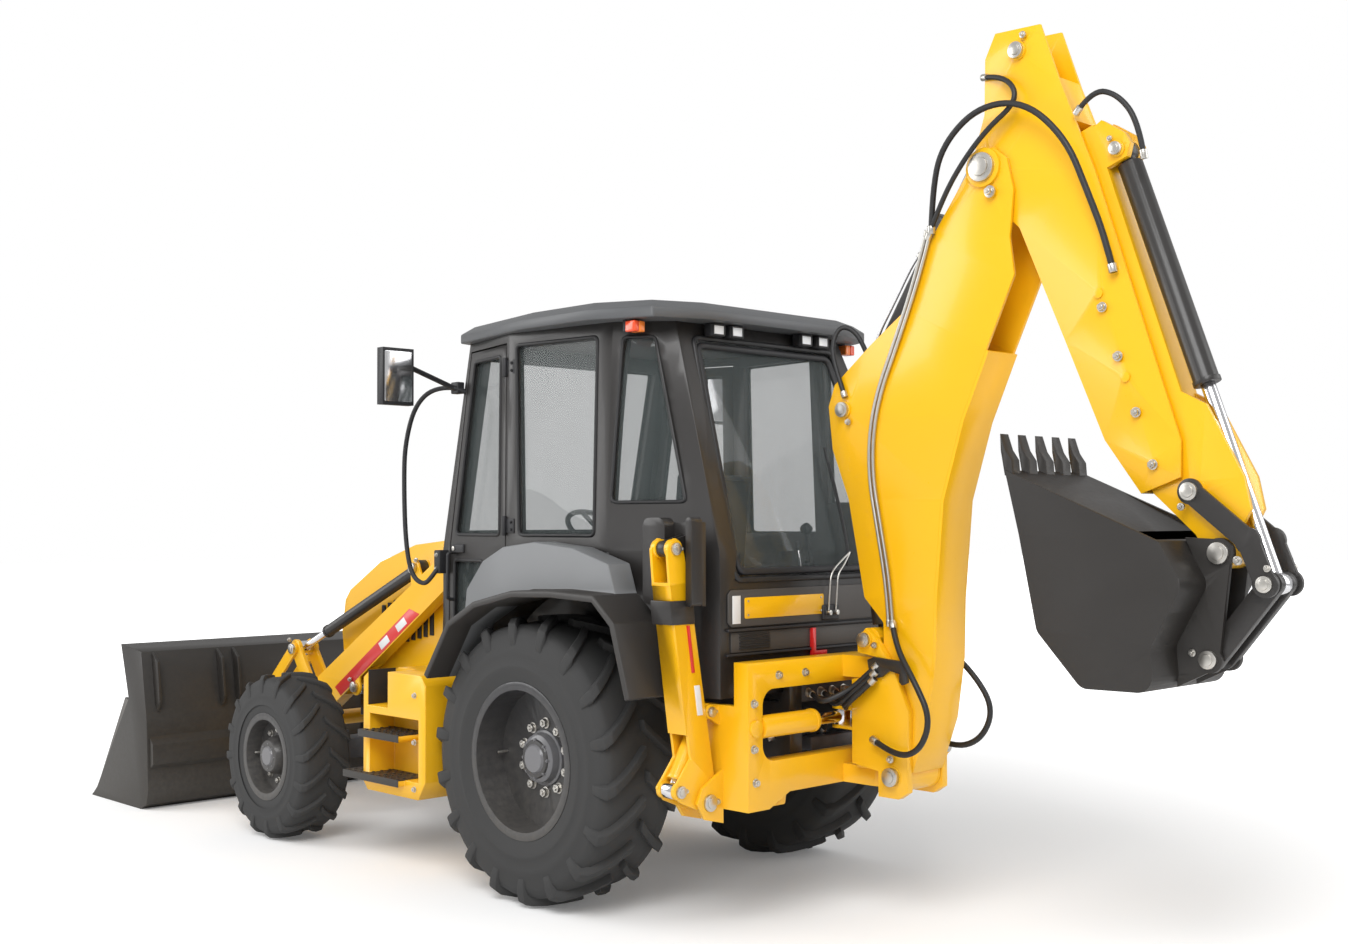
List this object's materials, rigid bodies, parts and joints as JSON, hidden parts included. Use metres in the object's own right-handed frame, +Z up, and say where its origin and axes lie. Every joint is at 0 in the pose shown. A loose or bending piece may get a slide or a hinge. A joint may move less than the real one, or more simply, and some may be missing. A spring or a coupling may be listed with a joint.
{
  "type": "backhoe loader",
  "caption": "Yellow backhoe loader with a closed cab, front loading bucket, folded digging arm and two folding stabilisers.",
  "frame": {"origin": "on the ground under the middle of the length, in the middle plane", "axes": "+X forward towards the loader bucket, +Y to the driver's left, +Z up"},
  "size_m": [7.3836, 2.42, 3.7493],
  "materials": {
    "yellow_paint": "gloss",
    "black_paint": "satin",
    "bucket_paint": "satin",
    "roof_grey": "satin",
    "fender_grey": "matte",
    "cast_grey": "matte",
    "chrome_rod": "polished",
    "window_glass": "gloss",
    "tyre_rubber": "matte",
    "rim_black": "satin",
    "seat_fabric": "matte",
    "black_plastic": "matte",
    "lamp_lens": "gloss"
  },
  "bodies": {
    "chassis": {"main_frame": "black_paint", "rear_frame": "yellow_paint", "drive_train": "cast_grey", "tanks": "yellow_paint", "cab_frame": "black_paint", "cab_glass": "window_glass", "cab_roof": "roof_grey", "fenders": "fender_grey", "seat": "seat_fabric", "controls": "black_plastic", "mirrors": "black_plastic", "lamps": "lamp_lens", "swing_barrels": "yellow_paint"},
    "front_axle": {"front_axle": "cast_grey"},
    "knuckle_left": {"knuckle_left": "cast_grey"},
    "knuckle_right": {"knuckle_right": "cast_grey"},
    "hood": {"hood": "yellow_paint"},
    "loader_arms": {"loader_arms": "yellow_paint"},
    "loader_bucket": {"loader_bucket": "bucket_paint"},
    "lift_barrels": {"lift_barrels": "black_paint"},
    "lift_rods": {"lift_rods": "chrome_rod"},
    "tilt_levers": {"tilt_levers": "yellow_paint"},
    "tilt_links": {"tilt_links": "yellow_paint"},
    "tilt_barrels": {"tilt_barrels": "black_paint"},
    "tilt_rods": {"tilt_rods": "chrome_rod"},
    "swing_tower": {"swing_tower": "yellow_paint"},
    "swing_rod_left": {"swing_rod_left": "chrome_rod"},
    "swing_rod_right": {"swing_rod_right": "chrome_rod"},
    "boom": {"boom": "yellow_paint"},
    "boom_barrel": {"boom_barrel": "black_paint"},
    "boom_rod": {"boom_rod": "chrome_rod"},
    "dipper": {"dipper": "yellow_paint"},
    "dipper_barrel": {"dipper_barrel": "black_paint"},
    "dipper_rod": {"dipper_rod": "chrome_rod"},
    "dipper_extension": {"dipper_extension": "yellow_paint"},
    "bucket_barrel": {"bucket_barrel": "black_paint"},
    "bucket_rod": {"bucket_rod": "chrome_rod"},
    "idler_links": {"idler_links": "black_paint"},
    "push_link": {"push_link": "black_paint"},
    "hoe_bucket": {"hoe_bucket": "bucket_paint"},
    "wheel_rear_left": {"tyre_rear_left": "tyre_rubber", "rim_rear_left": "rim_black"},
    "wheel_front_left": {"tyre_front_left": "tyre_rubber", "rim_front_left": "rim_black"},
    "door_left": {"door_left": "black_paint", "door_glass_left": "window_glass"},
    "stabiliser_leg_left": {"stabiliser_leg_left": "yellow_paint"},
    "stabiliser_pad_left": {"stabiliser_pad_left": "black_paint"},
    "stabiliser_barrel_left": {"stabiliser_barrel_left": "yellow_paint"},
    "stabiliser_rod_left": {"stabiliser_rod_left": "chrome_rod"},
    "wheel_rear_right": {"tyre_rear_right": "tyre_rubber", "rim_rear_right": "rim_black"},
    "wheel_front_right": {"tyre_front_right": "tyre_rubber", "rim_front_right": "rim_black"},
    "door_right": {"door_right": "black_paint", "door_glass_right": "window_glass"},
    "stabiliser_leg_right": {"stabiliser_leg_right": "yellow_paint"},
    "stabiliser_pad_right": {"stabiliser_pad_right": "black_paint"},
    "stabiliser_barrel_right": {"stabiliser_barrel_right": "yellow_paint"},
    "stabiliser_rod_right": {"stabiliser_rod_right": "chrome_rod"}
  },
  "joints": [
    {"name": "axle_oscillation", "type": "hinge", "parent": "chassis", "child": "front_axle", "pos_m": [1.64, 0, 0.485], "axis": [1, 0, 0], "range_deg": [-8, 8]},
    {"name": "steering", "type": "hinge", "parent": "front_axle", "child": "knuckle_left", "pos_m": [1.64, 0.69, 0.455], "axis": [0, 0, 1], "range_deg": [-32, 32]},
    {"name": "steering_right", "type": "hinge", "parent": "front_axle", "child": "knuckle_right", "pos_m": [1.64, -0.69, 0.455], "axis": [0, 0, 1], "range_deg": [-33, 33]},
    {"name": "wheel_front_left", "type": "hinge", "parent": "knuckle_left", "child": "wheel_front_left", "pos_m": [1.64, 0.915, 0.455], "axis": [0, 1, 0], "continuous": true},
    {"name": "wheel_rear_left", "type": "hinge", "parent": "chassis", "child": "wheel_rear_left", "pos_m": [-0.535, 0.785, 0.66], "axis": [0, 1, 0], "continuous": true},
    {"name": "wheel_front_right", "type": "hinge", "parent": "knuckle_right", "child": "wheel_front_right", "pos_m": [1.64, -0.915, 0.455], "axis": [0, 1, 0], "continuous": true},
    {"name": "wheel_rear_right", "type": "hinge", "parent": "chassis", "child": "wheel_rear_right", "pos_m": [-0.535, -0.785, 0.66], "axis": [0, 1, 0], "continuous": true},
    {"name": "hood", "type": "hinge", "parent": "chassis", "child": "hood", "pos_m": [1.795, 0, 0.85], "axis": [0, 1, 0], "range_deg": [0, 60]},
    {"name": "door_left", "type": "hinge", "parent": "chassis", "child": "door_left", "pos_m": [-0.219, 0.828, 1.8], "axis": [0, 0, 1], "range_deg": [0, 85]},
    {"name": "door_right", "type": "hinge", "parent": "chassis", "child": "door_right", "pos_m": [-0.219, -0.828, 1.8], "axis": [0, 0, -1], "range_deg": [0, 85]},
    {"name": "loader_lift", "type": "hinge", "parent": "chassis", "child": "loader_arms", "pos_m": [0.625, 0, 1.56], "axis": [0, -1, 0], "range_deg": [0, 77]},
    {"name": "lift_barrels", "type": "hinge", "parent": "chassis", "child": "lift_barrels", "pos_m": [0.475, 0, 0.64], "axis": [0, -1, 0], "range_deg": [-2, 51.87]},
    {"name": "lift_rods", "type": "slide", "parent": "lift_barrels", "child": "lift_rods", "axis": [0.9903, 0, 0.139], "range_m": [-0.005, 0.96732]},
    {"name": "bucket_tilt", "type": "hinge", "parent": "loader_arms", "child": "loader_bucket", "pos_m": [2.8, 0, 0.28], "axis": [0, 1, 0], "range_deg": [-40, 110]},
    {"name": "tilt_levers", "type": "hinge", "parent": "loader_arms", "child": "tilt_levers", "pos_m": [2.035, 0, 0.7], "axis": [0, 1, 0], "range_deg": [-22.37, 58.03]},
    {"name": "tilt_links", "type": "hinge", "parent": "tilt_levers", "child": "tilt_links", "pos_m": [2.255, 0, 0.985], "axis": [0, 1, 0], "range_deg": [-63.52, 24.37]},
    {"name": "tilt_barrels", "type": "hinge", "parent": "loader_arms", "child": "tilt_barrels", "pos_m": [1.025, 0, 1.5], "axis": [0, 1, 0], "range_deg": [-4.58, 9.09]},
    {"name": "tilt_rods", "type": "slide", "parent": "tilt_barrels", "child": "tilt_rods", "axis": [0.9224, 0, -0.3862], "range_m": [-0.10991, 0.2935]},
    {"name": "swing", "type": "hinge", "parent": "chassis", "child": "swing_tower", "pos_m": [-1.86, 0, 0.885], "axis": [0, 0, 1], "range_deg": [-90, 90]},
    {"name": "swing_rod_left", "type": "slide", "parent": "chassis", "child": "swing_rod_left", "axis": [0, 1, 0], "range_m": [-0.155, 0.155]},
    {"name": "swing_rod_right", "type": "slide", "parent": "chassis", "child": "swing_rod_right", "axis": [0, 1, 0], "range_m": [-0.155, 0.155]},
    {"name": "boom", "type": "hinge", "parent": "swing_tower", "child": "boom", "pos_m": [-2.02, 0, 0.665], "axis": [0, -1, 0], "range_deg": [0, 85]},
    {"name": "boom_barrel", "type": "hinge", "parent": "swing_tower", "child": "boom_barrel", "pos_m": [-1.88, 0, 1.24], "axis": [0, -1, 0], "range_deg": [-2, 110.38]},
    {"name": "boom_rod", "type": "slide", "parent": "boom_barrel", "child": "boom_rod", "axis": [0.1378, 0, 0.9905], "range_m": [-0.005, 0.60037]},
    {"name": "dipper", "type": "hinge", "parent": "boom", "child": "dipper", "pos_m": [-2.488, 0, 3.2], "axis": [0, 1, 0], "range_deg": [-5, 105]},
    {"name": "dipper_barrel", "type": "hinge", "parent": "boom", "child": "dipper_barrel", "pos_m": [-1.74, 0, 2.246], "axis": [0, 1, 0], "range_deg": [-3.04, 23.74]},
    {"name": "dipper_rod", "type": "slide", "parent": "dipper_barrel", "child": "dipper_rod", "axis": [-0.5394, 0, 0.8421], "range_m": [-0.59187, 0.03295]},
    {"name": "extension", "type": "slide", "parent": "dipper", "child": "dipper_extension", "axis": [-0.3156, 0, -0.9489], "range_m": [0, 1.1]},
    {"name": "hoe_bucket", "type": "hinge", "parent": "dipper_extension", "child": "hoe_bucket", "pos_m": [-3.4664, 0, 1.63376], "axis": [0, 1, 0], "range_deg": [-5, 140]},
    {"name": "idler_links", "type": "hinge", "parent": "dipper_extension", "child": "idler_links", "pos_m": [-3.3663, 0, 1.85866], "axis": [0, 1, 0], "range_deg": [-5.61, 103.15]},
    {"name": "push_link", "type": "hinge", "parent": "idler_links", "child": "push_link", "pos_m": [-3.64564, 0, 1.52582], "axis": [0, 1, 0], "range_deg": [-33.08, 3.11]},
    {"name": "bucket_barrel", "type": "hinge", "parent": "dipper_extension", "child": "bucket_barrel", "pos_m": [-3.06827, 0, 3.18225], "axis": [0, 1, 0], "range_deg": [-2.54, 17.09]},
    {"name": "bucket_rod", "type": "slide", "parent": "bucket_barrel", "child": "bucket_rod", "axis": [-0.3291, 0, -0.9443], "range_m": [-0.57717, 0.02543]},
    {"name": "stabiliser_left", "type": "hinge", "parent": "chassis", "child": "stabiliser_leg_left", "pos_m": [-1.475, 0.772, 0.575], "axis": [-1, 0, 0], "range_deg": [0, 110]},
    {"name": "stabiliser_pad_left", "type": "hinge", "parent": "stabiliser_leg_left", "child": "stabiliser_pad_left", "pos_m": [-1.475, 0.948, 1.64], "axis": [-1, 0, 0], "range_deg": [0, 161]},
    {"name": "stabiliser_barrel_left", "type": "hinge", "parent": "chassis", "child": "stabiliser_barrel_left", "pos_m": [-1.475, 0.74, 0.95], "axis": [-1, 0, 0], "range_deg": [-2, 26.14]},
    {"name": "stabiliser_rod_left", "type": "slide", "parent": "stabiliser_barrel_left", "child": "stabiliser_rod_left", "axis": [0, 0.5003, -0.8659], "range_m": [-0.005, 0.21217]},
    {"name": "stabiliser_right", "type": "hinge", "parent": "chassis", "child": "stabiliser_leg_right", "pos_m": [-1.475, -0.772, 0.575], "axis": [1, 0, 0], "range_deg": [0, 110]},
    {"name": "stabiliser_pad_right", "type": "hinge", "parent": "stabiliser_leg_right", "child": "stabiliser_pad_right", "pos_m": [-1.475, -0.948, 1.64], "axis": [1, 0, 0], "range_deg": [0, 161]},
    {"name": "stabiliser_barrel_right", "type": "hinge", "parent": "chassis", "child": "stabiliser_barrel_right", "pos_m": [-1.475, -0.74, 0.95], "axis": [1, 0, 0], "range_deg": [-2, 26.14]},
    {"name": "stabiliser_rod_right", "type": "slide", "parent": "stabiliser_barrel_right", "child": "stabiliser_rod_right", "axis": [0, -0.5003, -0.8659], "range_m": [-0.005, 0.21217]}
  ],
  "couplings": [
    {"joint": "steering_right", "follows": "steering", "ratio": 1},
    {"joint": "lift_barrels", "follows": "loader_lift", "ratio": 0.6477},
    {"joint": "lift_rods", "follows": "loader_lift", "m_per_rad": 0.71606},
    {"joint": "tilt_levers", "follows": "bucket_tilt", "ratio": 0.50935},
    {"joint": "tilt_links", "follows": "bucket_tilt", "ratio": -0.55926},
    {"joint": "tilt_barrels", "follows": "bucket_tilt", "ratio": 0.064416},
    {"joint": "tilt_rods", "follows": "bucket_tilt", "m_per_rad": 0.15027},
    {"joint": "swing_rod_left", "follows": "swing", "m_per_rad": 0.095493},
    {"joint": "swing_rod_right", "follows": "swing", "m_per_rad": 0.095493},
    {"joint": "boom_barrel", "follows": "boom", "ratio": 1.275},
    {"joint": "boom_rod", "follows": "boom", "m_per_rad": 0.40132},
    {"joint": "dipper_barrel", "follows": "dipper", "ratio": 0.20706},
    {"joint": "dipper_rod", "follows": "dipper", "m_per_rad": -0.32024},
    {"joint": "idler_links", "follows": "hoe_bucket", "ratio": 0.7225},
    {"joint": "push_link", "follows": "hoe_bucket", "ratio": -0.22198},
    {"joint": "bucket_barrel", "follows": "hoe_bucket", "ratio": 0.10782},
    {"joint": "bucket_rod", "follows": "hoe_bucket", "m_per_rad": -0.23416},
    {"joint": "stabiliser_pad_left", "follows": "stabiliser_left", "ratio": 1.4545},
    {"joint": "stabiliser_barrel_left", "follows": "stabiliser_left", "ratio": 0.21946},
    {"joint": "stabiliser_rod_left", "follows": "stabiliser_left", "m_per_rad": 0.10791},
    {"joint": "stabiliser_pad_right", "follows": "stabiliser_right", "ratio": 1.4545},
    {"joint": "stabiliser_barrel_right", "follows": "stabiliser_right", "ratio": 0.21946},
    {"joint": "stabiliser_rod_right", "follows": "stabiliser_right", "m_per_rad": 0.10791}
  ]
}
